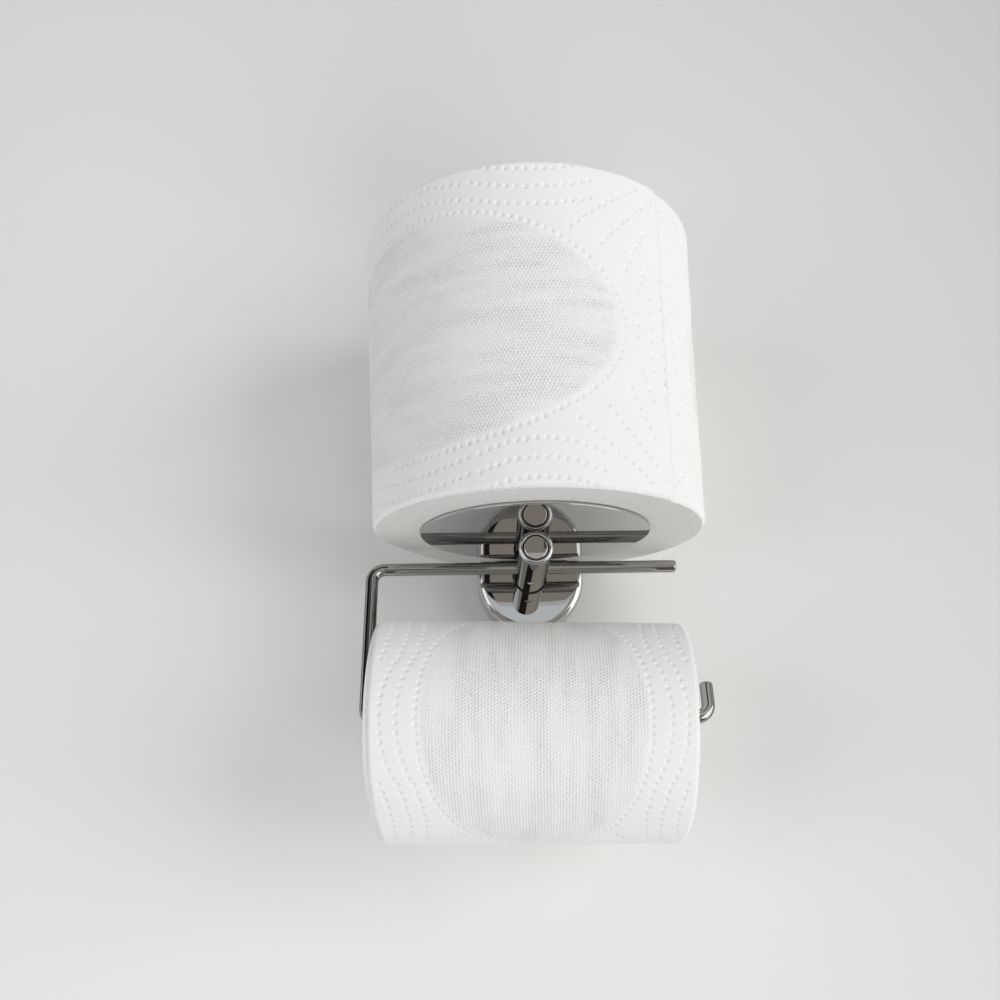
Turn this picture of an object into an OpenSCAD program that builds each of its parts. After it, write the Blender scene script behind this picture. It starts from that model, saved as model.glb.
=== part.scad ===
// Double toilet roll holder: a wall rosette carries one round post, a bent wire bar that
// passes through the post holds the roll in use, and a round plate with an upright spindle
// on top of the post holds the spare roll.
// The wall is the XZ plane, +Z is up, the holder stands out towards -Y, and the origin is
// the middle of the wall disc on the wall.

/* [Wall disc] */
// Thickness of the disc that is screwed to the wall
disc_t = 6; // [4:0.5:7]
// Bore in the middle of the disc, which leaves room for the head of the post screw
disc_bore_d = 13; // [11:0.5:15]
// Hole for a wall screw
screw_hole_d = 4.5; // [4:0.1:5]
// Countersink for the head of a wall screw
screw_head_d = 8; // [7:0.1:8.4]
// Depth of the V groove round the rim of the disc
groove_depth = 1; // [0.6:0.1:1.4]

/* [Rosette] */
// Outer diameter of the rosette
rosette_d = 42; // [41:0.5:50]
// How far the face of the rosette stands from the wall
rosette_depth = 16; // [15:0.5:20]
// Thickness of the side wall of the rosette
rosette_wall = 2.2; // [1.6:0.1:2.6]
// Thickness of the front of the rosette
rosette_front = 2.5; // [1.5:0.1:3]
// Rounding of the front edge of the rosette
rosette_round = 2; // [0.5:0.1:2.4]

/* [Post] */
// Diameter of the post
post_d = 12; // [11.6:0.1:14]
// Rounding of the front edge of the post
post_round = 1; // [0.4:0.1:1.2]
// Chamfer on the end of the post that bears on the rosette
post_chamfer = 0.5; // [0.2:0.1:0.8]
// Width of the end face of the post round its plug
plug_ring = 1.5; // [1.4:0.1:1.8]
// Thickness of the plug
plug_t = 1.5; // [1:0.1:3]
// Chamfer round the plug and its bore, which makes the fine dark ring
plug_groove = 0.25; // [0.1:0.05:0.4]

/* [Roll bar] */
// Diameter of the wire
bar_d = 4.5; // [4:0.1:5]
// Distance of the wire's cross hole in the post from the wall
bar_from_wall = 35; // [32:0.5:40]
// Lean of the bent wire towards the user, in degrees
bar_lean = 18; // [10:1:20]
// Distance of the free end from the middle of the post
free_end_x = 54; // [40:0.5:60]
// Room between the roll in use and the upturned tip
tip_room = 9.4; // [4:0.1:20]
// Length of the leg between the upper and the lower run, middle to middle
leg_h = 61; // [59:0.5:68]
// Height of the upturned tip above the middle of the lower run
tip_h = 13; // [9:0.5:16]
// Radius of each bend on the middle of the wire
bend_r = 5; // [4:0.25:6]
// Rounding of the two ends of the wire
wire_round = 1; // [0.4:0.1:1.4]

/* [Plate and spindle] */
// Diameter of the plate under the spare roll
plate_d = 80; // [50:1:100]
// Thickness of the plate
plate_t = 1; // [0.8:0.1:2]
// Rounding of the rim of the plate
plate_round = 0.3; // [0.1:0.05:0.4]
// Depth of the flat on top of the post that the plate lies on
seat_cut = 0.15; // [0.1:0.05:0.4]
// Diameter of the spindle
spindle_d = 6; // [5:0.1:8]
// Height of the spindle above the plate
spindle_h = 82; // [60:1:100]

/* [Rolls] */
// Width of the paper, and so of each roll
roll_w = 104.6; // [90:0.1:120]
// Hole through each coreless roll
roll_hole_d = 14; // [12:0.1:30]
// Diameter of the roll in use
hanging_d = 77; // [50:1:78]
// Diameter of the spare roll
spare_d = 116; // [90:1:130]
// Rounding of the rims of the rolls
roll_round = 1.2; // [0.6:0.1:2]
// Flare of the hole where it opens at the ends of a roll
mouth_flare = 2; // [2:0.1:3]
// How far the outermost turn is shifted along the roll
wrap_shift = 1.2; // [0.6:0.1:2]
// Direction in which the spare roll rests back against its spindle, in degrees to the right
spare_turn = 19; // [-60:1:60]
// Space between the spare roll and the wall
spare_wall_gap = 1.5; // [1:0.1:10]

/* [Hidden] */
$fn = 96;

// Overrun of every cut past the face that it opens
over = 1;
// Radial play of screws, plugs and nuts in their holes
fit_gap = 0.05;
// Space between pieces that move on each other
run_gap = 0.3;
// Play of the wall disc inside the rosette
disc_gap = 0.3;

// The screw that holds the post to the rosette, and the washer under its head
post_screw_d = 5;
post_screw_head_d = 8.5;
post_screw_head_h = 5;
post_screw_key = 4;
post_screw_key_h = 2.5;
post_screw_grip = 8;
washer_d = 10;
washer_t = 1;
hole_allowance = 0.15;

// The set screws
set_screw_d = 4;
set_screw_key = 2;
set_screw_key_h = 1.5;
set_screw_sink = 0.3;
set_screw_point_h = 0.8;

// The threaded end of the spindle and its nut
thread_d = 4;
nut_w = 7;
nut_h = 3.2;
nut_bevel = 0.4;
nut_room = 0.45;
thread_past_nut = 0.6;
plate_hole_allowance = 0.1;

// Thickness of the outermost turn of paper, as far as it shows
wrap_t = 0.4;

rosette_r = rosette_d / 2;
disc_r = rosette_r - rosette_wall - disc_gap;
post_r = post_d / 2;
bar_r = bar_d / 2;
plug_r = post_r - plug_ring;
plug_bore_r = plug_r + fit_gap;
plate_r = plate_d / 2;
spindle_r = spindle_d / 2;
thread_r = thread_d / 2;
set_screw_r = set_screw_d / 2;
roll_hole_r = roll_hole_d / 2;

// The wall screws stand in the middle of the land between the bore and the groove
screw_x = (disc_bore_d / 2 + disc_r - groove_depth) / 2;

// The spindle stands far enough from the wall for the spare roll, which rests back against it,
// to clear the wall, and for the plate to clear the rosette
spare_play = roll_hole_r - spindle_r - run_gap;
spare_back = spare_play * cos(spare_turn);
spare_x = spare_play * sin(spare_turn);
spindle_y = max(
    spare_d / 2 + spare_wall_gap + spare_back,
    rosette_depth + plate_r + run_gap
);
spare_y = spindle_y - spare_back;

// The nut in the front bore, and the end of the post in front of it
nut_corner_r = nut_w / 2 / cos(30);
nut_top = sqrt(plug_bore_r * plug_bore_r - nut_w * nut_w / 4) - fit_gap;
post_reach = spindle_y + nut_corner_r + nut_room + plug_t;
front_bore_h = post_reach - spindle_y + nut_corner_r + fit_gap;

// The underside of the plate, which lies on the flat of the post, and the foot of the spare roll
plate_z = post_r - seat_cut;
spare_z = plate_z + plate_t + run_gap;

// The leg and the tip of the wire stand alike on both sides of the post, with the roll between
leg_x = (run_gap + roll_w + wrap_shift + tip_room + bar_d) / 2;
tip_x = leg_x;

// The lower run of the wire, and the roll that hangs on it by the top of its hole
low_run_y = bar_from_wall + leg_h * sin(bar_lean);
low_run_z = -leg_h * cos(bar_lean);
hanging_z = low_run_z - (roll_hole_r - bar_r - run_gap);
hanging_left = -leg_x + bar_r + run_gap;

// Turns what is modelled upright so that its foot is on the wall and its top towards the user.
// Inside it, z is the distance from the wall and y is height.
module out_of_wall() {
    rotate([90, 0, 0]) children();
}

// What a rounding of radius r takes off a corner, seen from the middle of its arc
module corner_cut(r) {
    difference() {
        square(r + over);
        circle(r);
    }
}

// A round bar of radius r and length h whose top edge is rounded
module rounded_bar(r, h, round_r) {
    rotate_extrude() difference() {
        square([r, h]);
        translate([r - round_r, h - round_r]) corner_cut(round_r);
    }
}

// A set screw that stands on its point, with the hex key hole in its top
module set_screw(h, point_r, point_h) {
    difference() {
        union() {
            cylinder(h = point_h, r1 = point_r, r2 = set_screw_r);
            translate([0, 0, point_h]) cylinder(h = h - point_h, r = set_screw_r);
        }
        translate([0, 0, h - set_screw_key_h])
            cylinder(h = set_screw_key_h + over, r = set_screw_key / 2 / cos(30), $fn = 6);
    }
}

// The turned disc that two countersunk screws hold to the wall. The set screw of the rosette
// grips the V groove in its rim.
module wall_disc() {
    color("lightgray") out_of_wall() difference() {
        cylinder(h = disc_t, r = disc_r);
        translate([0, 0, -over]) cylinder(h = disc_t + 2 * over, r = disc_bore_d / 2);
        translate([0, 0, disc_t / 2]) rotate_extrude() polygon([
            [disc_r - groove_depth, 0],
            [disc_r + over, groove_depth + over],
            [disc_r + over, -groove_depth - over]
        ]);
        for (side = [-1, 1]) translate([side * screw_x, 0, 0]) wall_screw_hole();
    }
}

// A through hole with a right-angled countersink at the front face of the disc
module wall_screw_hole() {
    sink_h = (screw_head_d - screw_hole_d) / 2;
    translate([0, 0, -over]) cylinder(h = disc_t + 2 * over, r = screw_hole_d / 2);
    translate([0, 0, disc_t - sink_h])
        cylinder(h = sink_h + over, r1 = screw_hole_d / 2, r2 = screw_head_d / 2 + over);
}

// The polished cup that slips over the disc and hides it
module rosette() {
    color("silver") out_of_wall() difference() {
        rotate_extrude() difference() {
            square([rosette_r, rosette_depth]);
            translate([rosette_r - rosette_round, rosette_depth - rosette_round])
                corner_cut(rosette_round);
            translate([-over, -over]) square([
                rosette_r - rosette_wall + over,
                rosette_depth - rosette_front + over
            ]);
            translate([-over, -over]) square([
                post_screw_d / 2 + hole_allowance + over,
                rosette_depth + 2 * over
            ]);
        }
        translate([0, -disc_r, disc_t / 2]) rotate([90, 0, 0])
            cylinder(h = rosette_r - disc_r + over, r = set_screw_r + fit_gap);
    }
}

// The set screw under the rosette, whose cone sits in the groove of the disc
module rosette_set_screw() {
    point = disc_r - groove_depth + fit_gap;
    color("darkgray") out_of_wall() translate([0, -point, disc_t / 2]) rotate([90, 0, 0])
        set_screw(rosette_r - set_screw_sink - point, 0, set_screw_r);
}

// The washer under the head of the post screw
module post_washer() {
    color("gainsboro") out_of_wall()
        translate([0, 0, rosette_depth - rosette_front - washer_t]) difference() {
            cylinder(h = washer_t, r = washer_d / 2);
            translate([0, 0, -over])
                cylinder(h = washer_t + 2 * over, r = post_screw_d / 2 + hole_allowance);
        }
}

// The screw inside the rosette that draws the post against its face
module post_screw() {
    seat = rosette_depth - rosette_front - washer_t;
    color("darkgray") out_of_wall() difference() {
        union() {
            translate([0, 0, seat - post_screw_head_h])
                cylinder(h = post_screw_head_h, r = post_screw_head_d / 2);
            translate([0, 0, seat])
                cylinder(h = washer_t + rosette_front + post_screw_grip, r = post_screw_d / 2);
        }
        translate([0, 0, seat - post_screw_head_h - over])
            cylinder(h = post_screw_key_h + over, r = post_screw_key / 2 / cos(30), $fn = 6);
    }
}

// The round post: tapped at the wall end, cross drilled for the wire and its set screw,
// bored at the front for the nut of the spindle, with a flat on top for the plate
module post() {
    color("silver") out_of_wall() difference() {
        rotate_extrude() difference() {
            translate([0, rosette_depth]) square([post_r, post_reach - rosette_depth]);
            translate([post_r - post_round, post_reach - post_round]) corner_cut(post_round);
            translate([post_r, rosette_depth]) rotate(45)
                square(post_chamfer * sqrt(2), center = true);
        }
        translate([0, 0, rosette_depth - over])
            cylinder(h = post_screw_grip + 2 * over, r = post_screw_d / 2 + fit_gap);
        translate([0, 0, post_reach - front_bore_h])
            cylinder(h = front_bore_h + over, r = plug_bore_r);
        translate([0, 0, post_reach - plug_groove])
            cylinder(h = plug_groove + over, r1 = plug_bore_r, r2 = plug_bore_r + plug_groove + over);
        translate([0, 0, bar_from_wall]) rotate([0, 90, 0])
            cylinder(h = post_d + 2 * over, r = bar_r + fit_gap, center = true);
        translate([0, 0, bar_from_wall]) rotate([90, 0, 0])
            cylinder(h = post_r + over, r = set_screw_r + fit_gap);
        translate([0, 0, spindle_y]) rotate([-90, 0, 0])
            cylinder(h = post_r + over, r = thread_r + fit_gap);
        translate([-post_r, plate_z, max(rosette_depth, spindle_y - plate_r - run_gap)])
            cube([post_d, post_r, post_reach]);
    }
}

// The plug pressed into the front of the post
module end_plug() {
    color("silver") out_of_wall() translate([0, 0, post_reach - plug_t]) union() {
        cylinder(h = plug_t - plug_groove, r = plug_r);
        translate([0, 0, plug_t - plug_groove])
            cylinder(h = plug_groove, r1 = plug_r, r2 = plug_r - plug_groove);
    }
}

// A quarter turn of the wire about the middle of a bend, from the given angle on
module bend(centre, from_angle) {
    translate(centre) rotate(from_angle) rotate_extrude(angle = 90)
        translate([bend_r, 0]) circle(bar_r);
}

// The bent wire, drawn flat with x across and y up along the leg, and then leaned forward
// about its upper run, which passes through the post
module roll_bar() {
    color("silver") translate([0, -bar_from_wall, 0]) rotate([90 - bar_lean, 0, 0]) union() {
        translate([bend_r - leg_x, 0, 0]) rotate([0, 90, 0])
            rounded_bar(bar_r, free_end_x + leg_x - bend_r, wire_round);
        bend([bend_r - leg_x, -bend_r, 0], 90);
        translate([-leg_x, -bend_r, 0]) rotate([90, 0, 0])
            cylinder(h = leg_h - 2 * bend_r, r = bar_r);
        bend([bend_r - leg_x, bend_r - leg_h, 0], 180);
        translate([bend_r - leg_x, -leg_h, 0]) rotate([0, 90, 0])
            cylinder(h = leg_x + tip_x - 2 * bend_r, r = bar_r);
        bend([tip_x - bend_r, bend_r - leg_h, 0], 270);
        translate([tip_x, bend_r - leg_h, 0]) rotate([-90, 0, 0])
            rounded_bar(bar_r, tip_h - bend_r, wire_round);
    }
}

// The set screw under the post that locks the wire
module bar_set_screw() {
    point = bar_r + fit_gap;
    color("darkgray") out_of_wall() translate([0, -point, bar_from_wall]) rotate([90, 0, 0])
        set_screw(post_r - set_screw_sink - point, set_screw_r - set_screw_point_h,
            set_screw_point_h);
}

// The thin polished plate that carries the spare roll
module spare_plate() {
    color("silver") translate([0, -spindle_y, plate_z]) rotate_extrude() difference() {
        square([plate_r, plate_t]);
        translate([-over, -over])
            square([thread_r + plate_hole_allowance + over, plate_t + 2 * over]);
        translate([plate_r - plate_round, plate_t - plate_round]) corner_cut(plate_round);
        translate([plate_r - plate_round, plate_round]) mirror([0, 1]) corner_cut(plate_round);
    }
}

// The upright spindle with a domed top and a threaded lower end, which goes through the plate
// and the post into the nut
module spindle() {
    tail = plate_z + plate_t - nut_top + nut_h + thread_past_nut;
    color("silver") translate([0, -spindle_y, plate_z + plate_t]) union() {
        rotate_extrude() union() {
            square([spindle_r, spindle_h - spindle_r]);
            translate([0, spindle_h - spindle_r]) intersection() {
                circle(spindle_r);
                square(spindle_r);
            }
        }
        translate([0, 0, -tail]) cylinder(h = tail, r = thread_r);
    }
}

// The nut in the front bore of the post, which the sides of the bore keep from turning
module spindle_nut() {
    color("darkgray") translate([0, -spindle_y, nut_top - nut_h]) difference() {
        intersection() {
            rotate(30) cylinder(h = nut_h, r = nut_corner_r, $fn = 6);
            translate([0, 0, -nut_bevel])
                cylinder(h = nut_h + nut_bevel, r1 = nut_corner_r + nut_h, r2 = nut_corner_r - nut_bevel);
        }
        translate([0, 0, -over]) cylinder(h = nut_h + 2 * over, r = thread_r + fit_gap);
    }
}

// A coreless roll of tissue with its lower end at the origin. Its outermost turn is shifted
// along the roll, and its hole flares at both ends.
module tissue_roll(roll_r) {
    rotate_extrude() difference() {
        union() {
            translate([roll_hole_r, 0]) square([roll_r - wrap_t - roll_hole_r, roll_w]);
            translate([roll_hole_r + mouth_flare + roll_round, wrap_shift])
                square([roll_r - roll_hole_r - mouth_flare - roll_round, roll_w]);
        }
        translate([roll_r - wrap_t - roll_round, roll_round]) mirror([0, 1])
            corner_cut(roll_round + wrap_t);
        translate([roll_r - roll_round, roll_w + wrap_shift - roll_round]) corner_cut(roll_round);
        translate([roll_hole_r, 0]) rotate(45)
            square(mouth_flare * sqrt(2), center = true);
        translate([roll_hole_r, roll_w]) rotate(45)
            square(mouth_flare * sqrt(2), center = true);
    }
}

// The roll in use, which hangs on the lower run of the wire
module hanging_roll() {
    color("white") translate([hanging_left, -low_run_y, hanging_z]) rotate([0, 90, 0])
        tissue_roll(hanging_d / 2);
}

// The spare roll, which stands on the plate round the spindle. It leans back to the wall, so
// the rosette presses a dent into the soft paper, open below, and the roll still lifts off.
module spare_roll() {
    color("white") difference() {
        translate([spare_x, -spare_y, spare_z]) tissue_roll(spare_d / 2);
        out_of_wall() rounded_bar(rosette_r + run_gap, rosette_depth + run_gap, rosette_round);
    }
}

wall_disc();
rosette();
rosette_set_screw();
post_screw();
post_washer();
post();
end_plug();
roll_bar();
bar_set_screw();
spare_plate();
spindle();
spindle_nut();
hanging_roll();
spare_roll();
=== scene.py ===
# Double toilet roll holder for a bathroom wall: a polished rosette, a post that stands straight out
# from it, a bent wire for the roll in use and a round plate with a pin for the spare roll.
# X is to the right, +Y runs into the wall and Z is up. Lengths are in metres if no unit is named.
import math

import bpy
import numpy as np
from mathutils import Matrix, Vector


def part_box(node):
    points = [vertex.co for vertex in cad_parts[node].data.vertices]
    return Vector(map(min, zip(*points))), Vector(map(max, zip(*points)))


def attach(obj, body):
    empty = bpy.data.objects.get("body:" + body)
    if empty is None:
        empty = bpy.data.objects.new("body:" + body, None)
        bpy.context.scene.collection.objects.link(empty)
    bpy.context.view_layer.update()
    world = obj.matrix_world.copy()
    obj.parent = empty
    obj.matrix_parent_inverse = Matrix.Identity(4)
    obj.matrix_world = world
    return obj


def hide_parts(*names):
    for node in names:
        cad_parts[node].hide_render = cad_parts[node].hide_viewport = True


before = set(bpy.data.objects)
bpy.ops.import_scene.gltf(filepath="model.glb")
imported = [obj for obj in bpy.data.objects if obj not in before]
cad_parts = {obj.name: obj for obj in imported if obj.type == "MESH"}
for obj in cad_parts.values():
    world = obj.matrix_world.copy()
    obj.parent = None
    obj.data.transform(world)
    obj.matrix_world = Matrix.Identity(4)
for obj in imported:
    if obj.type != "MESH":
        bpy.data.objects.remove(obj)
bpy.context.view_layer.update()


# ---- Wall disc ----
# A turned disc of cast zinc alloy under the rosette, which two countersunk screws hold to the wall.
# It is left as turned and plated, so it is dull where the pieces that show are polished.

def srgb(code):
    """A colour written as sRGB hex, turned to the linear values that the shaders take."""
    values = [int(code[i:i + 2], 16) / 255 for i in (1, 3, 5)]
    linear = [v / 12.92 if v <= 0.04045 else ((v + 0.055) / 1.055) ** 2.4 for v in values]
    return (*linear, 1.0)


def node(tree, kind, settings=None, **inputs):
    """Adds a node with its settings, and sets or links its inputs. An input is named with _ for a
    blank, or i0, i1 and so on for its place."""
    new = tree.nodes.new(kind)
    for name, value in (settings or {}).items():
        setattr(new, name, value)
    for name, value in inputs.items():
        by_place = name[0] == "i" and name[1:].isdigit()
        socket = new.inputs[int(name[1:]) if by_place else name.replace("_", " ")]
        if isinstance(value, bpy.types.NodeSocket):
            tree.links.new(value, socket)
        else:
            socket.default_value = value
    return new


def new_material(name):
    """An empty material and its tree, ready for the nodes of its finish."""
    material = bpy.data.materials.new(name)
    material.use_nodes = True
    material.node_tree.nodes.clear()
    return material, material.node_tree


def give(names, material):
    """Puts a material in all the slots of the CAD nodes named."""
    for name in names:
        for slot in bpy.data.objects[name].material_slots:
            slot.material = material


# gives the eye dull plated metal with the marks of the turning tool, rings about 0.35 mm apart
cast_zinc, tree = new_material("turned_zinc_alloy")
place = node(tree, "ShaderNodeTexCoord").outputs["Object"]
turning = node(tree, "ShaderNodeTexWave", {"wave_type": "RINGS", "rings_direction": "Y"},
               Vector=place, Scale=900.0, Distortion=0.4, Detail=1.0)
bump = node(tree, "ShaderNodeBump", Strength=0.15, Distance=0.00003,
            Height=turning.outputs["Color"])
surface = node(tree, "ShaderNodeBsdfPrincipled", Base_Color=srgb("#a9a9a6"), Metallic=1.0,
               Roughness=0.38, Normal=bump.outputs["Normal"])
node(tree, "ShaderNodeOutputMaterial", Surface=surface.outputs["BSDF"])
give(["wall_disc"], cast_zinc)


# ---- Rosette ----
# A cup drawn from brass sheet, polished and chrome plated, that slips over the wall disc. Its face
# is flat in the middle and falls off to a full round rim, and a fine bead runs along its back.

def polished(name, base, roughness, wave_height, edge="#eaeaea"):
    """A mirror finish as polishing by hand leaves it, with waves about 9 mm long and wipe marks
    about 1 mm wide. The last colour is the one it takes where it is seen at a slant."""
    material, tree = new_material(name)
    place = node(tree, "ShaderNodeTexCoord").outputs["Object"]
    slow = node(tree, "ShaderNodeTexNoise", Vector=place, Scale=110.0, Detail=1.0)
    wipes = node(tree, "ShaderNodeTexNoise", Vector=place, Scale=900.0, Detail=4.0)
    dull = node(tree, "ShaderNodeMapRange", Value=wipes.outputs["Fac"],
                From_Min=0.35, From_Max=0.75, To_Min=roughness, To_Max=roughness * 1.9)
    bump = node(tree, "ShaderNodeBump", Strength=1.0, Distance=wave_height,
                Height=slow.outputs["Fac"])
    surface = node(tree, "ShaderNodeBsdfPrincipled", Base_Color=srgb(base), Metallic=1.0,
                   Roughness=dull.outputs["Result"], Specular_Tint=srgb(edge),
                   Normal=bump.outputs["Normal"])
    node(tree, "ShaderNodeOutputMaterial", Surface=surface.outputs["BSDF"])
    return material


# gives the eye a bright, cool mirror whose lines waver a little, as on plated brass
chrome = polished("polished_chrome_plate", "#c6c6c5", 0.012, 0.000005)
crease = math.radians(30)


def select_only(piece):
    """Makes a piece the only one selected and the active one, as the mesh tools need it."""
    bpy.ops.object.select_all(action="DESELECT")
    piece.select_set(True)
    bpy.context.view_layer.objects.active = piece


def turned(name, profile, middle, along, steps=192):
    """A turned piece: a closed profile of (radius, place along the axis) in mm, spun round it."""
    shape = bpy.data.meshes.new(name)
    spots = [(middle[0] + r / 1000, middle[1] + (t / 1000 if along == "Y" else 0.0),
              middle[2] + (t / 1000 if along == "Z" else 0.0)) for r, t in profile]
    shape.from_pydata(spots, [(i, (i + 1) % len(spots)) for i in range(len(spots))], [])
    piece = bpy.data.objects.new(name, shape)
    bpy.context.scene.collection.objects.link(piece)
    select_only(piece)
    bpy.ops.object.mode_set(mode="EDIT")
    bpy.ops.mesh.select_all(action="SELECT")
    axis = (0, 1, 0) if along == "Y" else (0, 0, 1)
    bpy.ops.mesh.spin(steps=steps, angle=2 * math.pi, center=middle, axis=axis)
    bpy.ops.mesh.select_all(action="SELECT")
    bpy.ops.mesh.remove_doubles(threshold=0.0000002)
    bpy.ops.mesh.delete_loose()
    bpy.ops.mesh.select_all(action="SELECT")
    bpy.ops.mesh.normals_make_consistent(inside=False)
    bpy.ops.object.mode_set(mode="OBJECT")
    bpy.ops.object.shade_smooth_by_angle(angle=crease)
    return piece


def drill(piece, middle, radius, depth, sides, turn=0.0):
    """Cuts an upright hole in a piece, round or with six sides."""
    bpy.ops.object.select_all(action="DESELECT")
    bpy.ops.mesh.primitive_cylinder_add(vertices=sides, radius=radius, depth=depth,
                                        location=middle, rotation=(0, 0, turn))
    cutter = bpy.context.object
    hole = piece.modifiers.new("hole", "BOOLEAN")
    hole.operation, hole.solver, hole.object = "DIFFERENCE", "EXACT", cutter
    select_only(piece)
    bpy.ops.object.modifier_apply(modifier="hole")
    bpy.data.objects.remove(cutter)
    bpy.ops.object.shade_smooth_by_angle(angle=crease)


# In mm: the flat middle of the face and the bore for the post's screw, the width over which the
# face falls off and its steps, then the slope at which the rim takes over, its cosine, and the
# radius of the rim.
flat_radius, face_y, bore_radius = 15.5, -16.0, 2.75
fall_width, fall_step = 2.7, 0.18
end_slope, end_cosine, rim_round = 0.055, 0.9985, 2.96
fall, radius_now, y_now = [], flat_radius, face_y
while radius_now < 18.19:
    radius_now += fall_step
    fallen = (radius_now - fall_step / 2 - flat_radius) / fall_width
    y_now += fall_step * end_slope * fallen ** 2.2
    fall.append((radius_now, y_now))
lip = [(18.2 + rim_round * (math.sin(a) - end_slope),
        y_now + rim_round * (end_cosine - math.cos(a)))
       for a in np.linspace(end_slope, math.pi / 2, 15)[1:]]
face = [(bore_radius, face_y), (6.2, face_y), (11.0, face_y), (flat_radius, face_y)]
side_and_bead = [(21.0, -12.6), (21.0, -2.0), (20.95, -1.85), (20.75, -1.7), (20.75, -1.5),
                 (20.95, -1.35), (21.0, -1.2), (21.0, -0.4), (20.9, -0.15), (20.7, 0.0)]
inside = [(19.1, 0.0), (18.8, -0.3), (18.8, -13.1), (18.4, -13.5), (bore_radius, -13.5)]
rosette = turned("rosette_cup", face + fall + lip + side_and_bead + inside, (0, 0, 0), "Y")
screw_low, screw_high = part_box("rosette_set_screw")
screw_hole = ((screw_low[0] + screw_high[0]) / 2, (screw_low[1] + screw_high[1]) / 2, -0.0199)
drill(rosette, screw_hole, radius=0.00205, depth=0.004, sides=48)
rosette.data.materials.clear()
rosette.data.materials.append(chrome)
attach(rosette, "holder")
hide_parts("rosette")


# ---- Set screw of the rosette, screw and washer of the post ----
# Stainless steel grub screw that bites in the groove of the wall disc, and the cap screw that pulls
# the post against the rosette from inside, with its washer.

# gives the eye a duller, darker grey than the plated pieces, with the marks of machining
steel = polished("stainless_steel_screw", "#8d8b87", 0.22, 0.00001)
give(["rosette_set_screw", "post_screw", "post_washer"], steel)


# ---- Post with its plug and the black ring of its joint ----
# A 12 mm round brass bar, bored from the front and closed by a pressed-in plug, all chrome plated.
# A thin black ring in the joint with the rosette is painted shadow of the gap there, and the same
# black paints the shade in the groove round the plug.

give(["post"], chrome)

# gives the eye the thin black line in each joint: painted shadow of the narrow gap, matt, with a
# grain of about 0.4 mm
gap_shadow_black, tree = new_material("painted_gap_shadow")
place = node(tree, "ShaderNodeTexCoord").outputs["Object"]
grain = node(tree, "ShaderNodeTexNoise", Vector=place, Scale=2500.0, Detail=3.0)
bump = node(tree, "ShaderNodeBump", Strength=0.4, Distance=0.00002, Height=grain.outputs["Fac"])
shade = node(tree, "ShaderNodeValToRGB", Fac=grain.outputs["Fac"])
shade.color_ramp.elements[0].color = srgb("#0c0c0c")
shade.color_ramp.elements[1].color = srgb("#232321")
surface = node(tree, "ShaderNodeBsdfPrincipled", Base_Color=shade.outputs["Color"], Roughness=0.6,
               Normal=bump.outputs["Normal"])
node(tree, "ShaderNodeOutputMaterial", Surface=surface.outputs["BSDF"])

# a bevelled face, a narrow groove round it whose faces take the black of painted shade, and the
# pressed-in side
plug = turned("post_plug", [(0.0, -68.99), (3.7, -68.99), (3.82, -68.99), (3.9, -68.97),
                            (4.12, -68.76), (4.15, -68.7), (4.16, -68.45), (4.44, -68.45),
                            (4.5, -68.4), (4.5, -67.6), (4.4, -67.49), (0.0, -67.49)],
              (0, 0, 0), "Y", 128)
plug.data.materials.append(chrome)
plug.data.materials.append(gap_shadow_black)
groove_radius, groove_floor = 0.00413, -0.0683
# the faces in the groove take the black of painted shade
for side in plug.data.polygons:
    if math.hypot(side.center[0], side.center[2]) > groove_radius and side.center[1] < groove_floor:
        side.material_index = 1
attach(plug, "holder")
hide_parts("end_plug")

# a black ring where the post meets the rosette: painted shadow of the gap in the joint
joint_shadow_ring = turned("post_joint_shadow_ring", [(5.53, -16.01), (6.4, -16.01), (6.45, -16.06), (6.45, -16.2),
                            (6.4, -16.25), (5.77, -16.25)], (0, 0, 0), "Y", 128)
joint_shadow_ring.data.materials.append(gap_shadow_black)
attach(joint_shadow_ring, "holder")


# ---- Wire and its set screw ----
# One 4.5 mm wire bent twice, with rounded ends, chrome plated after bending. It passes through the
# post, and a steel grub screw with a hexagon socket locks it from below.

# gives the eye the same mirror as the other pieces, a little darker, with painted dark outlines:
# its colour at a slant is near black
give(["roll_bar"], polished("chrome_plated_wire", "#aeadab", 0.018, 0.000005, "#0a0a0a"))

wire_y = -0.035
grub = turned("wire_grub_screw", [(0.0, -5.6), (1.5, -5.6), (1.58, -5.58), (1.95, -5.2),
                                  (1.98, -5.1), (1.98, -2.35), (1.7, -2.3), (0.0, -2.3)],
              (0, wire_y, 0), "Z", 64)
drill(grub, (0, wire_y, -0.0053), radius=0.00116, depth=0.0018, sides=6, turn=math.radians(12))
grub.data.materials.clear()
# gives the eye a bright satin ring round the dark hexagon of the socket, as on zinc plated steel
grub.data.materials.append(polished("bright_steel_screw", "#f0efec", 0.3, 0.000005))
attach(grub, "holder")
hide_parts("bar_set_screw")


# ---- Plate, spindle and nut ----
# A thin steel plate, polished on both sides, and the pin that stands in the spare roll's hole.
# The pin's thread goes through plate and post, and the nut in the front bore pulls it down.

plate_low, plate_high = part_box("spare_plate")
low, high = plate_low[2] * 1000, plate_high[2] * 1000
edge_round = 0.28
rim = [(39.72 + edge_round * math.sin(a), low + edge_round - edge_round * math.cos(a))
       for a in np.linspace(0, math.pi / 2, 6)]
upper_rim = [(r, low + high - z) for r, z in rim[::-1]]
plate = turned("round_plate", [(2.62, low), (20.0, low), (39.4, low)] + rim + upper_rim
               + [(39.4, high), (20.0, high), (2.62, high)], (0, -0.063, 0), "Z", 320)
plate.data.materials.append(chrome)
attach(plate, "holder")
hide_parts("spare_plate")
give(["spindle"], chrome)
give(["spindle_nut"], steel)


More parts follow.
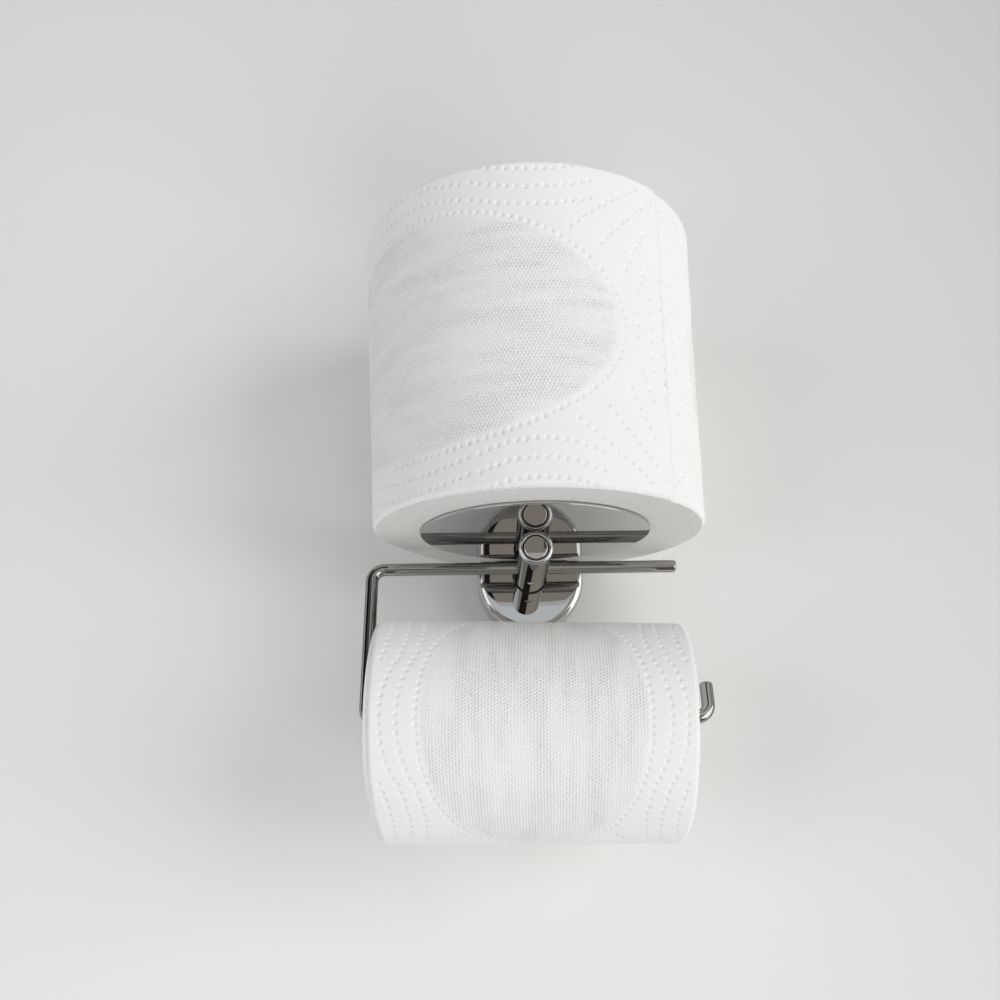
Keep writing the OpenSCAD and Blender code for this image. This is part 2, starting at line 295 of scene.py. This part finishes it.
# ---- Roll in use ----
# A coreless roll of two-ply tissue with pressed dots round a woven field, wound tight and cut on a
# saw. It hangs on the wire by the top of its hole, and its outer turns are pushed a little askew.

roll_width = 0.1046
hole_radius = 0.007
# how far the wound paper lies under the outer sheets, and the rings of the ends that stand unevenly
body_sink = 0.00105
end_rings = 10


def wound_body(name, radius, middle, axis):
    """The wound paper under the outer sheets: a bored cylinder along X (0) or Z (2), with its ends
    divided in rings."""
    bpy.ops.object.select_all(action="DESELECT")
    turned_by = (0, 0, 0) if axis == 2 else (0, math.radians(90), 0)
    bpy.ops.mesh.primitive_cylinder_add(vertices=256, radius=radius, depth=roll_width,
                                        location=middle, rotation=turned_by)
    body = bpy.context.object
    body.name = name
    bpy.ops.object.transform_apply(location=True, rotation=True)
    bpy.ops.object.mode_set(mode="EDIT")
    bpy.ops.mesh.select_mode(type="FACE")
    bpy.ops.mesh.select_all(action="DESELECT")
    bpy.ops.object.mode_set(mode="OBJECT")
    for face in body.data.polygons:
        face.select = abs(face.normal[axis]) > 0.9
    bpy.ops.object.mode_set(mode="EDIT")
    for _ in range(end_rings):
        bpy.ops.mesh.inset(thickness=(radius - hole_radius) / end_rings)
    bpy.ops.mesh.bridge_edge_loops()
    bpy.ops.object.mode_set(mode="OBJECT")
    return body


def positions(piece):
    """The places of a mesh's points, one row for each."""
    spots = np.empty(len(piece.data.vertices) * 3)
    piece.data.vertices.foreach_get("co", spots)
    return spots.reshape(-1, 3)


def set_positions(piece, spots):
    """Moves a mesh's points to the places given."""
    piece.data.vertices.foreach_set("co", spots.ravel())
    piece.data.update()


def soften_ends(body, radius, middle, axis, seed):
    """Sinks the mouth of the hole and lets the turns of the ends stand out a little unevenly."""
    chance = np.random.default_rng(seed)
    spots = positions(body)
    across = [i for i in range(3) if i != axis]
    flat = spots[:, across] - np.array([middle[i] for i in across])
    reach = np.hypot(flat[:, 0], flat[:, 1])
    side = np.sign(spots[:, axis] - middle[axis])
    ring = np.rint((radius - reach) / ((radius - hole_radius) / end_rings)).astype(int)
    rim, turns, mouth = -0.0001, chance.uniform(-0.0003, 0.0001, end_rings - 1), -0.0016
    wander = np.concatenate([[rim], turns, [mouth]])
    spots[:, axis] += side * wander[np.clip(ring, 0, end_rings)]
    set_positions(body, spots)


def embossed_dots(half_length, half_width, top_bows, side_bows, fans, columns):
    """The middles of the pressed dots of one repeat, in mm from the middle of its oval field: the
    oval itself, bowed rows above and beside it, slanted fans and upright columns between two."""

    def spaced(along, across, spacing):
        """Points at an even spacing on a line."""
        path = np.concatenate([[0], np.cumsum(np.hypot(np.diff(along), np.diff(across)))])
        marks = np.linspace(0, path[-1], max(2, int(round(path[-1] / spacing)) + 1))
        return np.interp(marks, path, along), np.interp(marks, path, across)

    oval_spacing, row_spacing, column_spacing = 2.75, 3.0, 5.5
    turn = np.linspace(0, 2 * math.pi, 400)
    oval = spaced(half_length * np.cos(turn), half_width * np.sin(turn), oval_spacing)
    dots = [np.stack([oval[0][:-1], oval[1][:-1]], 1)]
    for middle, heights, reach, bend in (top_bows, side_bows):
        for height in heights:
            along = np.linspace(-reach, reach, 60)
            row = np.stack(spaced(along, height + bend * along ** 2, row_spacing), 1)
            for way in ((-1, 1) if middle else (1,)):
                dots.append(row + (way * middle, 0))
                dots.append(row * (1, -1) + (way * middle, 0))
    for start, end, bow in fans:
        part = np.linspace(0, 1, 30)
        along = start[0] + (end[0] - start[0]) * part + bow * 4 * part * (1 - part)
        across = start[1] + (end[1] - start[1]) * part
        row = np.stack(spaced(along, across, row_spacing), 1)
        for flip in ((1, 1), (1, -1), (-1, 1), (-1, -1)):
            dots.append(row * flip)
    for along, reach in columns:
        across = np.linspace(-reach, reach, int(2 * reach / column_spacing) + 2)
        row = np.stack([np.full_like(across, along), across], 1)
        dots.append(row)
        dots.append(row * (-1, 1))
    return np.concatenate(dots)


# In mm: the dots, how far each stands off its place, the height of the slow swells of loose paper,
# the raggedness of the sawn rims, and how far rims and seams bend down, over what width.
dot_radius, dot_depth, dot_jitter = 0.6, 0.68, 0.12
swell_height, rag = 0.026, 0.13
rim_bend, rim_width = 1.0, 1.4
seam_bend, seam_width = 0.8, 0.7


def paper_sheet(name, place_point, start, length, shift_of, sink_of,
                dots, pitch, field_middle, field, seed):
    """One sheet of the outer turn: a fine grid laid out in mm along the girth and across the width,
    with the dots of every repeat pressed in, and then wrapped on the roll by place_point."""
    bpy.ops.object.select_all(action="DESELECT")
    columns, rows = 322, 276
    repeats = range(-3, 4)
    bpy.ops.mesh.primitive_grid_add(x_subdivisions=columns, y_subdivisions=rows, size=1)
    sheet = bpy.context.object
    sheet.name = name
    grid = positions(sheet)
    width = roll_width * 1000
    along = start + (grid[:, 0] + 0.5) * length
    across = grid[:, 1] * width
    column = np.rint((grid[:, 0] + 0.5) * columns).astype(int)
    row = np.rint((grid[:, 1] + 0.5) * rows).astype(int)
    table_u = start + np.arange(columns + 1) / columns * length
    table_v = (np.arange(rows + 1) / rows - 0.5) * width
    height = np.zeros((columns + 1, rows + 1))
    chance = np.random.default_rng(seed)
    for repeat in repeats:
        for dot_u, dot_v in dots:
            dot_u = field_middle + dot_u + repeat * pitch + chance.uniform(-dot_jitter, dot_jitter)
            dot_v = dot_v + chance.uniform(-dot_jitter, dot_jitter)
            if not (start - 1 < dot_u < start + length + 1 and abs(dot_v) < width / 2 - 0.4):
                continue
            # only the grid points a few steps round the dot are pressed
            i, j = int((dot_u - start) / length * columns), int((dot_v / width + 0.5) * rows)
            i0, i1 = max(i - 5, 0), min(i + 7, columns + 1)
            j0, j1 = max(j - 5, 0), min(j + 7, rows + 1)
            du, dv = np.meshgrid(table_u[i0:i1] - dot_u, table_v[j0:j1] - dot_v, indexing="ij")
            near = (du ** 2 + dv ** 2) / dot_radius ** 2
            height[i0:i1, j0:j1] -= dot_depth * chance.uniform(0.75, 1.05) * np.exp(-near ** 1.4)
    uu, vv = np.meshgrid(table_u, table_v, indexing="ij")
    for _ in range(9):
        wave_u, wave_v = chance.normal(0, 0.2, 2)
        height += swell_height * np.sin(wave_u * uu + wave_v * vv + chance.uniform(0, 6.28))
    lift = height[column, row]
    rim_u = np.minimum(grid[:, 0] + 0.5, 0.5 - grid[:, 0]) * length
    rim_v = (0.5 - np.abs(grid[:, 1])) * width
    torn = chance.normal(0, rag, (2, columns + 1))[(across > 0).astype(int), column]
    # the sawn rims, and the ends of the sheet at its seams, bend down onto the wound paper
    lift -= (rim_bend * np.clip(1 - rim_v / rim_width, 0, 1) ** 2
             + seam_bend * np.clip(1 - rim_u / seam_width, 0, 1) ** 2)
    across = across + torn * np.clip(1 - rim_v / 1.2, 0, 1)
    spots = place_point(along, across + shift_of(along), lift / 1000 - sink_of(along))
    set_positions(sheet, spots)
    woven = np.zeros(len(along))
    for repeat in repeats:
        far = np.hypot((along - field_middle - repeat * pitch) / (field[0] - 0.9),
                       across / (field[1] - 0.9))
        woven = np.maximum(woven, np.clip((1 - far) * 26, 0, 1))
    pressed = np.clip(-height[column, row] / dot_depth, 0, 1)
    for mask, values in (("woven", woven), ("pressed", pressed)):
        sheet.data.attributes.new(mask, "FLOAT", "POINT").data.foreach_set("value", values)
    corner = np.empty(len(sheet.data.loops), dtype=np.int32)
    sheet.data.loops.foreach_get("vertex_index", corner)
    flat = np.stack([grid[corner, 0] + 0.5, grid[corner, 1] + 0.5], 1)
    sheet.data.uv_layers.active.data.foreach_set("uv", flat.ravel())
    bpy.ops.object.shade_smooth()
    return sheet


# gives the eye soft white paper: a fine staggered weave, 1.2 by 1 mm, in the oval fields, stronger
# and weaker in streaks along the sheet and wavering a little, loose fibres about 0.7 mm long, and
# dots that are a little darker where the paper is crushed, with painted shade in their hollows
paper, tree = new_material("two_ply_tissue")
sheet_uv = node(tree, "ShaderNodeUVMap").outputs["UV"]
# the sheets' own UV map, stretched to their size in mm
in_mm = node(tree, "ShaderNodeMapping", Vector=sheet_uv,
             Scale=(121.0, 104.6, 1.0)).outputs["Vector"]
wobble = node(tree, "ShaderNodeTexNoise", Vector=in_mm, Scale=0.35, Detail=1.0).outputs["Color"]
uneven = node(tree, "ShaderNodeVectorMath", {"operation": "MULTIPLY_ADD"},
              i0=wobble, i1=(0.5, 0.5, 0.0), i2=in_mm).outputs["Vector"]
# the weave is the sum of three waves at 60 degrees to each other, 1 mm from crest to crest
weave = 0.0
for a, b in ((5.40, 3.08), (5.40, -3.08), (0.0, 6.16)):
    phase = node(tree, "ShaderNodeVectorMath", {"operation": "DOT_PRODUCT"},
                 i0=uneven, i1=(a, b, 0.0)).outputs["Value"]
    wave = node(tree, "ShaderNodeMath", {"operation": "COSINE"}, i0=phase).outputs["Value"]
    weave = node(tree, "ShaderNodeMath", {"operation": "ADD"}, i0=weave, i1=wave).outputs["Value"]
streaky = node(tree, "ShaderNodeMapping", Vector=in_mm, Scale=(0.03, 0.16, 1.0)).outputs["Vector"]
patchy = node(tree, "ShaderNodeTexNoise", Vector=streaky, Scale=1.0, Detail=4.0).outputs["Fac"]
patches = node(tree, "ShaderNodeMapRange", Value=patchy,
               From_Min=0.35, From_Max=0.65, To_Min=0.35, To_Max=1.0).outputs["Result"]
in_field = node(tree, "ShaderNodeAttribute", {"attribute_name": "woven"}).outputs["Fac"]
strength = node(tree, "ShaderNodeMath", {"operation": "MULTIPLY"},
                i0=patches, i1=in_field).outputs["Value"]
cloth = node(tree, "ShaderNodeMath", {"operation": "MULTIPLY"},
             i0=weave, i1=strength).outputs["Value"]
fibre = node(tree, "ShaderNodeTexNoise", Vector=in_mm, Scale=1.5, Detail=5.0,
             Roughness=0.65).outputs["Fac"]
relief = node(tree, "ShaderNodeMath", {"operation": "MULTIPLY_ADD"},
              i0=fibre, i1=1.2, i2=cloth).outputs["Value"]
bump = node(tree, "ShaderNodeBump", Strength=1.0, Distance=0.000085, Height=relief)
# the dots' hollows are a little darker: crushed paper and painted shade
crushed_and_shaded = node(tree, "ShaderNodeAttribute", {"attribute_name": "pressed"}).outputs["Fac"]
shade = node(tree, "ShaderNodeValToRGB", Fac=crushed_and_shaded)
shade.color_ramp.elements[0].color = srgb("#f9f9f7")
shade.color_ramp.elements[1].color = srgb("#f2f1ef")
surface = node(tree, "ShaderNodeBsdfPrincipled", Base_Color=shade.outputs["Color"], Roughness=0.95,
               Specular_IOR_Level=0.15, Normal=bump.outputs["Normal"])
node(tree, "ShaderNodeOutputMaterial", Surface=surface.outputs["BSDF"])


def sawn_edges(name, towards, centre):
    """The sawn ends of a roll, which give the eye faint rings and a felt of torn fibres about 1 mm
    across. The rings are drawn 1 mm apart, because the real turns are too fine to show."""
    material, tree = new_material(name)
    spot = node(tree, "ShaderNodeTexCoord").outputs["Object"]
    centred = node(tree, "ShaderNodeMapping", Vector=spot,
                   Location=[-c for c in centre]).outputs["Vector"]
    rings = node(tree, "ShaderNodeTexWave", {"wave_type": "RINGS", "rings_direction": towards},
                 Vector=centred, Scale=300.0, Distortion=3.0, Detail=3.0, Detail_Scale=2.5)
    fluff = node(tree, "ShaderNodeTexNoise", Vector=spot, Scale=1100.0, Detail=4.0,
                 Roughness=0.7).outputs["Fac"]
    rough = node(tree, "ShaderNodeMath", {"operation": "MULTIPLY_ADD"},
                 i0=rings.outputs["Fac"], i1=0.22, i2=fluff).outputs["Value"]
    bump = node(tree, "ShaderNodeBump", Strength=1.0, Distance=0.00022, Height=rough)
    shade = node(tree, "ShaderNodeValToRGB", Fac=fluff)
    low, high = shade.color_ramp.elements
    low.position, low.color = 0.3, srgb("#e4e3e1")
    high.position, high.color = 0.7, srgb("#f3f2f0")
    surface = node(tree, "ShaderNodeBsdfPrincipled", Base_Color=shade.outputs["Color"],
                   Roughness=0.95, Specular_IOR_Level=0.15, Normal=bump.outputs["Normal"])
    node(tree, "ShaderNodeOutputMaterial", Surface=surface.outputs["BSDF"])
    return material


hanging_radius = 0.038125
hanging_middle = (-0.05605 + roll_width / 2, -0.05385, -0.0624645)
hanging_girth = 2 * math.pi * hanging_radius * 1000

# How the outer turns are pushed: the slant of the left rim in its upper and its lower half, that of
# the right rim, and forward and up, each in the middle and per metre along the roll.
left_upper, left_lower, right_slant = 0.0018, 0.0031, 0.00115
pushed_y, pushed_y_along = 0.00045, 0.0624
pushed_z, pushed_z_along = 0.00046, -0.0130


def askew(spots):
    """Pushes the outer turns askew, the left end forward and the rims slanted. The hole stays."""
    spots = spots.copy()
    reach = np.hypot(spots[:, 1] - hanging_middle[1], spots[:, 2] - hanging_middle[2])
    loose = np.clip((reach - hole_radius) / (hanging_radius - hole_radius), 0, 1)
    from_middle = spots[:, 0] - hanging_middle[0]
    rise = np.clip((spots[:, 2] - hanging_middle[2]) / hanging_radius, -1, 1)
    left = left_upper * np.clip(rise, 0, 1) ** 2 + left_lower * np.clip(-rise, 0, 1) ** 2.5
    right = right_slant * rise
    spots[:, 0] += loose * (left + (right - left) * np.clip(from_middle / roll_width + 0.5, 0, 1))
    spots[:, 1] += loose * (pushed_y + pushed_y_along * from_middle)
    spots[:, 2] += loose * (pushed_z + pushed_z_along * from_middle)
    return spots


hanging_body = wound_body("hanging_roll_body", hanging_radius - body_sink, hanging_middle, 0)
soften_ends(hanging_body, hanging_radius - body_sink, hanging_middle, 0, 3)
set_positions(hanging_body, askew(positions(hanging_body)))
hanging_body.data.materials.append(sawn_edges("sawn_edges_of_roll_in_use", "X", hanging_middle))
select_only(hanging_body)
paper_crease = math.radians(40)
bpy.ops.object.shade_smooth_by_angle(angle=paper_crease)
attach(hanging_body, "roll_in_use")
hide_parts("hanging_roll")

# in mm: the oval, the bowed rows over and beside it, the fans and the columns
hanging_dots = embossed_dots(
    54.0, 37.3, (0, (43.4, 48.6), 19, -0.0105), (36, (36.3, 41.3, 47.0), 15, 0.0095),
    (((45.0, 27.0), (56.0, 38.0), 0.5), ((52.0, 19.0), (59.0, 27.0), 0.3)), ((58.5, 6.0),))
# where its last sheet ends and the middle of an oval lies, in mm of girth above the front
hanging_end, hanging_field = -63.0, 2.0


def on_hanging_roll(along, across, lift):
    """Wraps a sheet's points round the roll in use, from its front upwards."""
    angle = along / 1000 / hanging_radius
    reach = hanging_radius + lift
    return askew(np.stack([hanging_middle[0] + across / 1000,
                           hanging_middle[1] - reach * np.cos(angle),
                           hanging_middle[2] + reach * np.sin(angle)], 1))


for number in (1, 2):
    start = hanging_end + (number - 1) * hanging_girth / 2
    sheet = paper_sheet("hanging_roll_sheet_%d" % number, on_hanging_roll, start, hanging_girth / 2,
                        shift_of=lambda along: 1.15,
                        sink_of=lambda along: 0.00015 * (along - hanging_end) / hanging_girth,
                        dots=hanging_dots, pitch=hanging_girth / 2, field_middle=hanging_field,
                        field=(54.0, 37.3), seed=10 + number)
    sheet.data.materials.append(paper)
    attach(sheet, "roll_in_use")
    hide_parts("hanging_roll")


# ---- Spare roll ----
# A fuller roll of the same kind, which stands on the plate round the spindle, leans a little and
# stands by the wall. The rosette presses a dent into its soft back.

spare_radius = 0.0578
spare_foot = (0.00125, -0.0614, 0.00710)
spare_middle = (spare_foot[0], spare_foot[1], spare_foot[2] + roll_width / 2)
spare_girth = 2 * math.pi * spare_radius * 1000

# How the roll stands: its lean to the left and forward, how much wider it is at the top, the way
# that its rims sag or stand up past the plate, and the bulge where turns have slipped down.
lean_left, lean_forward, widening = math.radians(1.24), math.radians(0.35), 0.012
plate_reach, plate_soft, sag = 0.041, 0.017, 0.0006
slip, slip_at, slip_spread = 0.0016, 0.46, 0.42
# the dent: the rosette's reach, the softness of its edge, and how near the paper comes to the wall
# at the rosette and elsewhere
dent_reach, dent_soft, dent_y, dent_rise = 0.0213, 0.012, -0.0166, 0.0160


def lean_and_dent(spots):
    """Leans the roll to the left and forward, widens it upwards, lets its lower rim sag past the
    plate and slip at the back left, and keeps it off the wall and the rosette."""
    spots = spots.copy()
    up = spots[:, 2] - spare_foot[2]
    part = np.clip(up / roll_width, 0, 1)
    out = spots[:, :2] - np.array(spare_foot[:2])
    reach = np.hypot(out[:, 0], out[:, 1])
    spots[:, :2] += out * widening * part[:, None]
    spots[:, 0] -= up * math.tan(lean_left)
    spots[:, 1] -= up * math.tan(lean_forward)
    bearing = np.arctan2(out[:, 1], -out[:, 0])
    slipped = slip * np.exp(-((bearing - slip_at) / slip_spread) ** 2)
    past_plate = np.clip((reach - plate_reach) / plate_soft, 0, 1)
    spots[:, 2] += past_plate * (-sag + 2 * sag * part + slipped * (1 - part))
    from_rosette = np.hypot(spots[:, 0], spots[:, 2])
    free = np.clip((from_rosette - dent_reach) / dent_soft, 0, 1)
    free = free * free * (3 - 2 * free)
    spots[:, 1] = np.minimum(spots[:, 1], dent_y + dent_rise * free)
    return spots


spare_body = wound_body("spare_roll_body", spare_radius - body_sink, spare_middle, 2)
soften_ends(spare_body, spare_radius - body_sink, spare_middle, 2, 4)
# level cuts near the foot give the dent its points
select_only(spare_body)
bpy.ops.object.mode_set(mode="EDIT")
cut_step = 0.0025
for cut in range(1, 14):
    bpy.ops.mesh.select_all(action="SELECT")
    bpy.ops.mesh.bisect(plane_co=(0, 0, spare_foot[2] + cut * cut_step), plane_no=(0, 0, 1))
bpy.ops.object.mode_set(mode="OBJECT")
set_positions(spare_body, lean_and_dent(positions(spare_body)))
spare_axis = (spare_foot[0], spare_foot[1], 0.0)
spare_body.data.materials.append(sawn_edges("sawn_edges_of_spare_roll", "Z", spare_axis))
bpy.ops.object.shade_smooth_by_angle(angle=paper_crease)
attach(spare_body, "roll_in_store")
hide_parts("spare_roll")

# in mm: the oval, the bowed rows over and beside it, the fans and the columns
spare_dots = embossed_dots(
    74.0, 39.4, (0, (44.7, 50.0), 22, -0.006), (45, (37.6, 43.4, 49.4), 19, 0.0095),
    (((57.0, 31.0), (81.5, 48.5), -0.8), ((67.0, 26.5), (88.0, 46.5), -0.8),
     ((75.5, 19.5), (84.0, 33.5), -0.6), ((80.0, 13.0), (84.0, 22.0), -0.2)),
    ((79.3, 6.0), (84.8, 12.0), (90.5, 20.0)))
# where its last sheet ends and the middle of an oval lies, in mm of girth to the right of the front
spare_end, spare_field = 45.5, -46.0


def on_spare_roll(along, across, lift):
    """Wraps a sheet's points round the spare roll, from its front to the right."""
    angle = along / 1000 / spare_radius
    reach = spare_radius + lift
    return lean_and_dent(np.stack([spare_middle[0] + reach * np.sin(angle),
                                   spare_middle[1] - reach * np.cos(angle),
                                   spare_middle[2] + across / 1000], 1))


for number in (1, 2, 3):
    start = spare_end - number * spare_girth / 3
    sheet = paper_sheet("spare_roll_sheet_%d" % number, on_spare_roll, start, spare_girth / 3,
                        shift_of=lambda along: 0.55 - 0.5 * (spare_end - along) / spare_girth,
                        sink_of=lambda along: 0.00022 * (spare_end - along) / spare_girth,
                        dots=spare_dots, pitch=spare_girth / 2, field_middle=spare_field,
                        field=(74.0, 39.4), seed=20 + number)
    sheet.data.materials.append(paper)
    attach(sheet, "roll_in_store")
    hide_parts("spare_roll")


# ---- Wall, light and camera ----
# A plain painted wall, lit by a large soft window at the front right and by the light that comes
# back from a white room. The wall can be seen through from behind.

bpy.ops.object.select_all(action="DESELECT")
bpy.ops.mesh.primitive_plane_add(size=6, location=(0, 0.0003, 0), rotation=(math.radians(90), 0, 0))
wall = bpy.context.object
wall.name = "wall"
bpy.ops.object.transform_apply(location=True, rotation=True)
# gives the eye a flat, warm white with painted light falloff: it is a little greyer to the right
# and the top, where the light on the wall is weaker, with the marks of the roller, about 3 mm
# across
paint, tree = new_material("matt_wall_paint")
behind = node(tree, "ShaderNodeNewGeometry").outputs["Backfacing"]
place = node(tree, "ShaderNodeTexCoord").outputs["Object"]
spot = node(tree, "ShaderNodeSeparateXYZ", Vector=place)
# painted light falloff: how much of its light the paint gives back, from left to right and from
# bottom to top, standing in for the uneven light on the wall
painted_falloff = 1.022
for name, low, high, straight, curved in (("X", -0.263, 0.239, -0.062, -0.054),
                                          ("Z", -0.21, 0.30, -0.070, -0.014)):
    way = node(tree, "ShaderNodeMapRange", Value=spot.outputs[name], From_Min=low, From_Max=high,
               To_Min=-1.25, To_Max=1.25).outputs["Result"]
    slope = node(tree, "ShaderNodeMath", {"operation": "MULTIPLY_ADD"},
                 i0=way, i1=curved, i2=straight).outputs["Value"]
    painted_falloff = node(tree, "ShaderNodeMath", {"operation": "MULTIPLY_ADD"},
                 i0=way, i1=slope, i2=painted_falloff).outputs["Value"]
tint = node(tree, "ShaderNodeVectorMath", {"operation": "SCALE"},
            i0=srgb("#edecea")[:3], Scale=painted_falloff)
roller = node(tree, "ShaderNodeTexNoise", Vector=place, Scale=350.0, Detail=3.0)
bump = node(tree, "ShaderNodeBump", Strength=0.2, Distance=0.0001, Height=roller.outputs["Fac"])
coat = node(tree, "ShaderNodeBsdfDiffuse", Color=tint.outputs["Vector"],
            Normal=bump.outputs["Normal"])
clear = node(tree, "ShaderNodeBsdfTransparent")
surface = node(tree, "ShaderNodeMixShader", i0=behind, i1=coat.outputs["BSDF"],
               i2=clear.outputs["BSDF"])
node(tree, "ShaderNodeOutputMaterial", Surface=surface.outputs["Shader"])
wall.data.materials.append(paint)


def direction_at(turn, rise):
    """The direction at an azimuth, 0 towards the viewer and + to the right, and a height, both in
    degrees."""
    turn, rise = math.radians(turn), math.radians(rise)
    level = math.cos(rise)
    return Vector((math.sin(turn) * level, -math.cos(turn) * level, math.sin(rise)))


# Each lamp: azimuth and height in degrees, width and height in metres, power in watts and colour.
lamp_distance = 4.0
for name, turn, rise, wide, high, power, tint in (
        ("window", 53, 5, 3.2, 2.6, 77.0, "#ffffff"),
        ("far_wall", -50, -4, 2.6, 2.6, 43.0, "#fbfcff"),
        ("basin", 30, -45, 2.6, 2.6, 48.0, "#ffffff"),
        ("ceiling", 10, 50, 2.6, 2.6, 14.0, "#ffffff")):
    lamp = bpy.data.lights.new(name, "AREA")
    lamp.shape, lamp.size, lamp.size_y, lamp.energy = "RECTANGLE", wide, high, power
    lamp.color = srgb(tint)[:3]
    stand = bpy.data.objects.new(name, lamp)
    bpy.context.scene.collection.objects.link(stand)
    stand.location = lamp_distance * direction_at(turn, rise)
    stand.rotation_euler = (-stand.location).to_track_quat("-Z", "Y").to_euler()
    stand.visible_glossy = False

# What the polished metal mirrors: a plain room, by azimuth and height in degrees.
world = bpy.data.worlds.new("bathroom")
bpy.context.scene.world = world
world.use_nodes = True
tree = world.node_tree
tree.nodes.clear()
ray = node(tree, "ShaderNodeLightPath")
sky = node(tree, "ShaderNodeTexCoord").outputs["Generated"]
axes = node(tree, "ShaderNodeSeparateXYZ", Vector=sky)
ahead = node(tree, "ShaderNodeMath", {"operation": "MULTIPLY"},
             i0=axes.outputs["Y"], i1=-1.0).outputs["Value"]
azimuth = node(tree, "ShaderNodeMath", {"operation": "ARCTAN2"},
               i0=axes.outputs["X"], i1=ahead).outputs["Value"]
azimuth = node(tree, "ShaderNodeMath", {"operation": "DEGREES"}, i0=azimuth).outputs["Value"]
rise = node(tree, "ShaderNodeMath", {"operation": "ARCSINE"}, i0=axes.outputs["Z"]).outputs["Value"]
rise = node(tree, "ShaderNodeMath", {"operation": "DEGREES"}, i0=rise).outputs["Value"]


def within(value, low, high, soft):
    """1 between two bounds and 0 outside them, with soft edges."""
    up = node(tree, "ShaderNodeMapRange", {"interpolation_type": "SMOOTHSTEP"}, Value=value,
              From_Min=low - soft, From_Max=low + soft).outputs["Result"]
    down = node(tree, "ShaderNodeMapRange", {"interpolation_type": "SMOOTHSTEP"}, Value=value,
                From_Min=high - soft, From_Max=high + soft,
                To_Min=1.0, To_Max=0.0).outputs["Result"]
    return node(tree, "ShaderNodeMath", {"operation": "MULTIPLY"}, i0=up, i1=down).outputs["Value"]


# Each row is a patch with soft bounds over those before it: from and to, bottom and top, the
# softness of its bounds, its colour and its strength.
room = srgb("#a5a19b")
for left, right, bottom, top, soft, colour, strength in (
        (-200, 200, -100, -36, 2.0, "#6b6763", 1.0),
        (-200, 200, -36, -29, 1.0, "#34322f", 1.0),
        (-200, 200, -29, -18, 1.0, "#c9c5bf", 1.0),
        (-1, 200, -18, -3, 1.0, "#bbb4aa", 1.0),
        (-9, -0.2, -18, -3, 0.15, "#2b2927", 1.0),
        (3.10, 3.24, -13.75, -13.15, 0.04, "#1c1b1a", 1.0),
        (-18, 8, -0.6, 14, 1.0, "#dadde1", 1.0),
        (-200, 5, 25, 62, 2.0, "#5c5a58", 1.0),
        (5, 60, 25, 62, 2.0, "#cbcac8", 1.0),
        (-106, -48, 12, 62, 2.0, "#0a0a0a", 1.0),
        (13, 27, 25, 62, 2.0, "#e8e8e6", 1.1),
        (-62, -24, -30, 16, 2.0, "#ffffff", 1.5),
        (32, 88, -36, 16, 2.0, "#ffffff", 2.0),
        (-200, 200, 62, 100, 3.0, "#c0beb9", 1.0)):
    patch = node(tree, "ShaderNodeMath", {"operation": "MULTIPLY"},
                 i0=within(azimuth, left, right, soft),
                 i1=within(rise, bottom, top, min(soft, 1.0))).outputs["Value"]
    bright = [value * strength for value in srgb(colour)[:3]] + [1.0]
    room = node(tree, "ShaderNodeMix", {"data_type": "RGBA", "clamp_result": False},
                i0=patch, i6=room, i7=bright).outputs[2]
# mirrors see the room, the camera a plain light grey and all else a dim white
plain = node(tree, "ShaderNodeBackground", Color=srgb("#ffffff"), Strength=0.25)
seen = node(tree, "ShaderNodeBackground", Color=srgb("#e8e8e8"), Strength=1.0)
mirrored = node(tree, "ShaderNodeBackground", Color=room, Strength=1.0)
first = node(tree, "ShaderNodeMixShader", i0=ray.outputs["Is Glossy Ray"],
             i1=plain.outputs["Background"], i2=mirrored.outputs["Background"])
second = node(tree, "ShaderNodeMixShader", i0=ray.outputs["Is Camera Ray"],
              i1=first.outputs["Shader"], i2=seen.outputs["Background"])
node(tree, "ShaderNodeOutputWorld", Surface=second.outputs["Shader"])

bpy.context.scene.view_settings.view_transform = "Standard"

# the camera looks up by its pitch and a little to the right, from below and in front of the post
camera_data = bpy.data.cameras.new("camera")
camera_data.sensor_width = 36.0
camera_data.lens = 36.815
camera_data.shift_y = 0.10
camera = bpy.data.objects.new("camera", camera_data)
bpy.context.scene.collection.objects.link(camera)
bpy.context.scene.camera = camera
pitch, yaw, roll = (math.radians(a) for a in (10.317, 0.541, -0.878))
ahead = Vector((math.sin(yaw) * math.cos(pitch), math.cos(yaw) * math.cos(pitch), math.sin(pitch)))
level = Vector((math.cos(yaw), -math.sin(yaw), 0.0))
upright = level.cross(ahead)
right = level * math.cos(roll) + upright * math.sin(roll)
up = upright * math.cos(roll) - level * math.sin(roll)
turn = Matrix((right, up, -ahead)).transposed()
camera.matrix_world = Matrix.Translation((-0.015873, -0.411358, -0.080579)) @ turn.to_4x4()
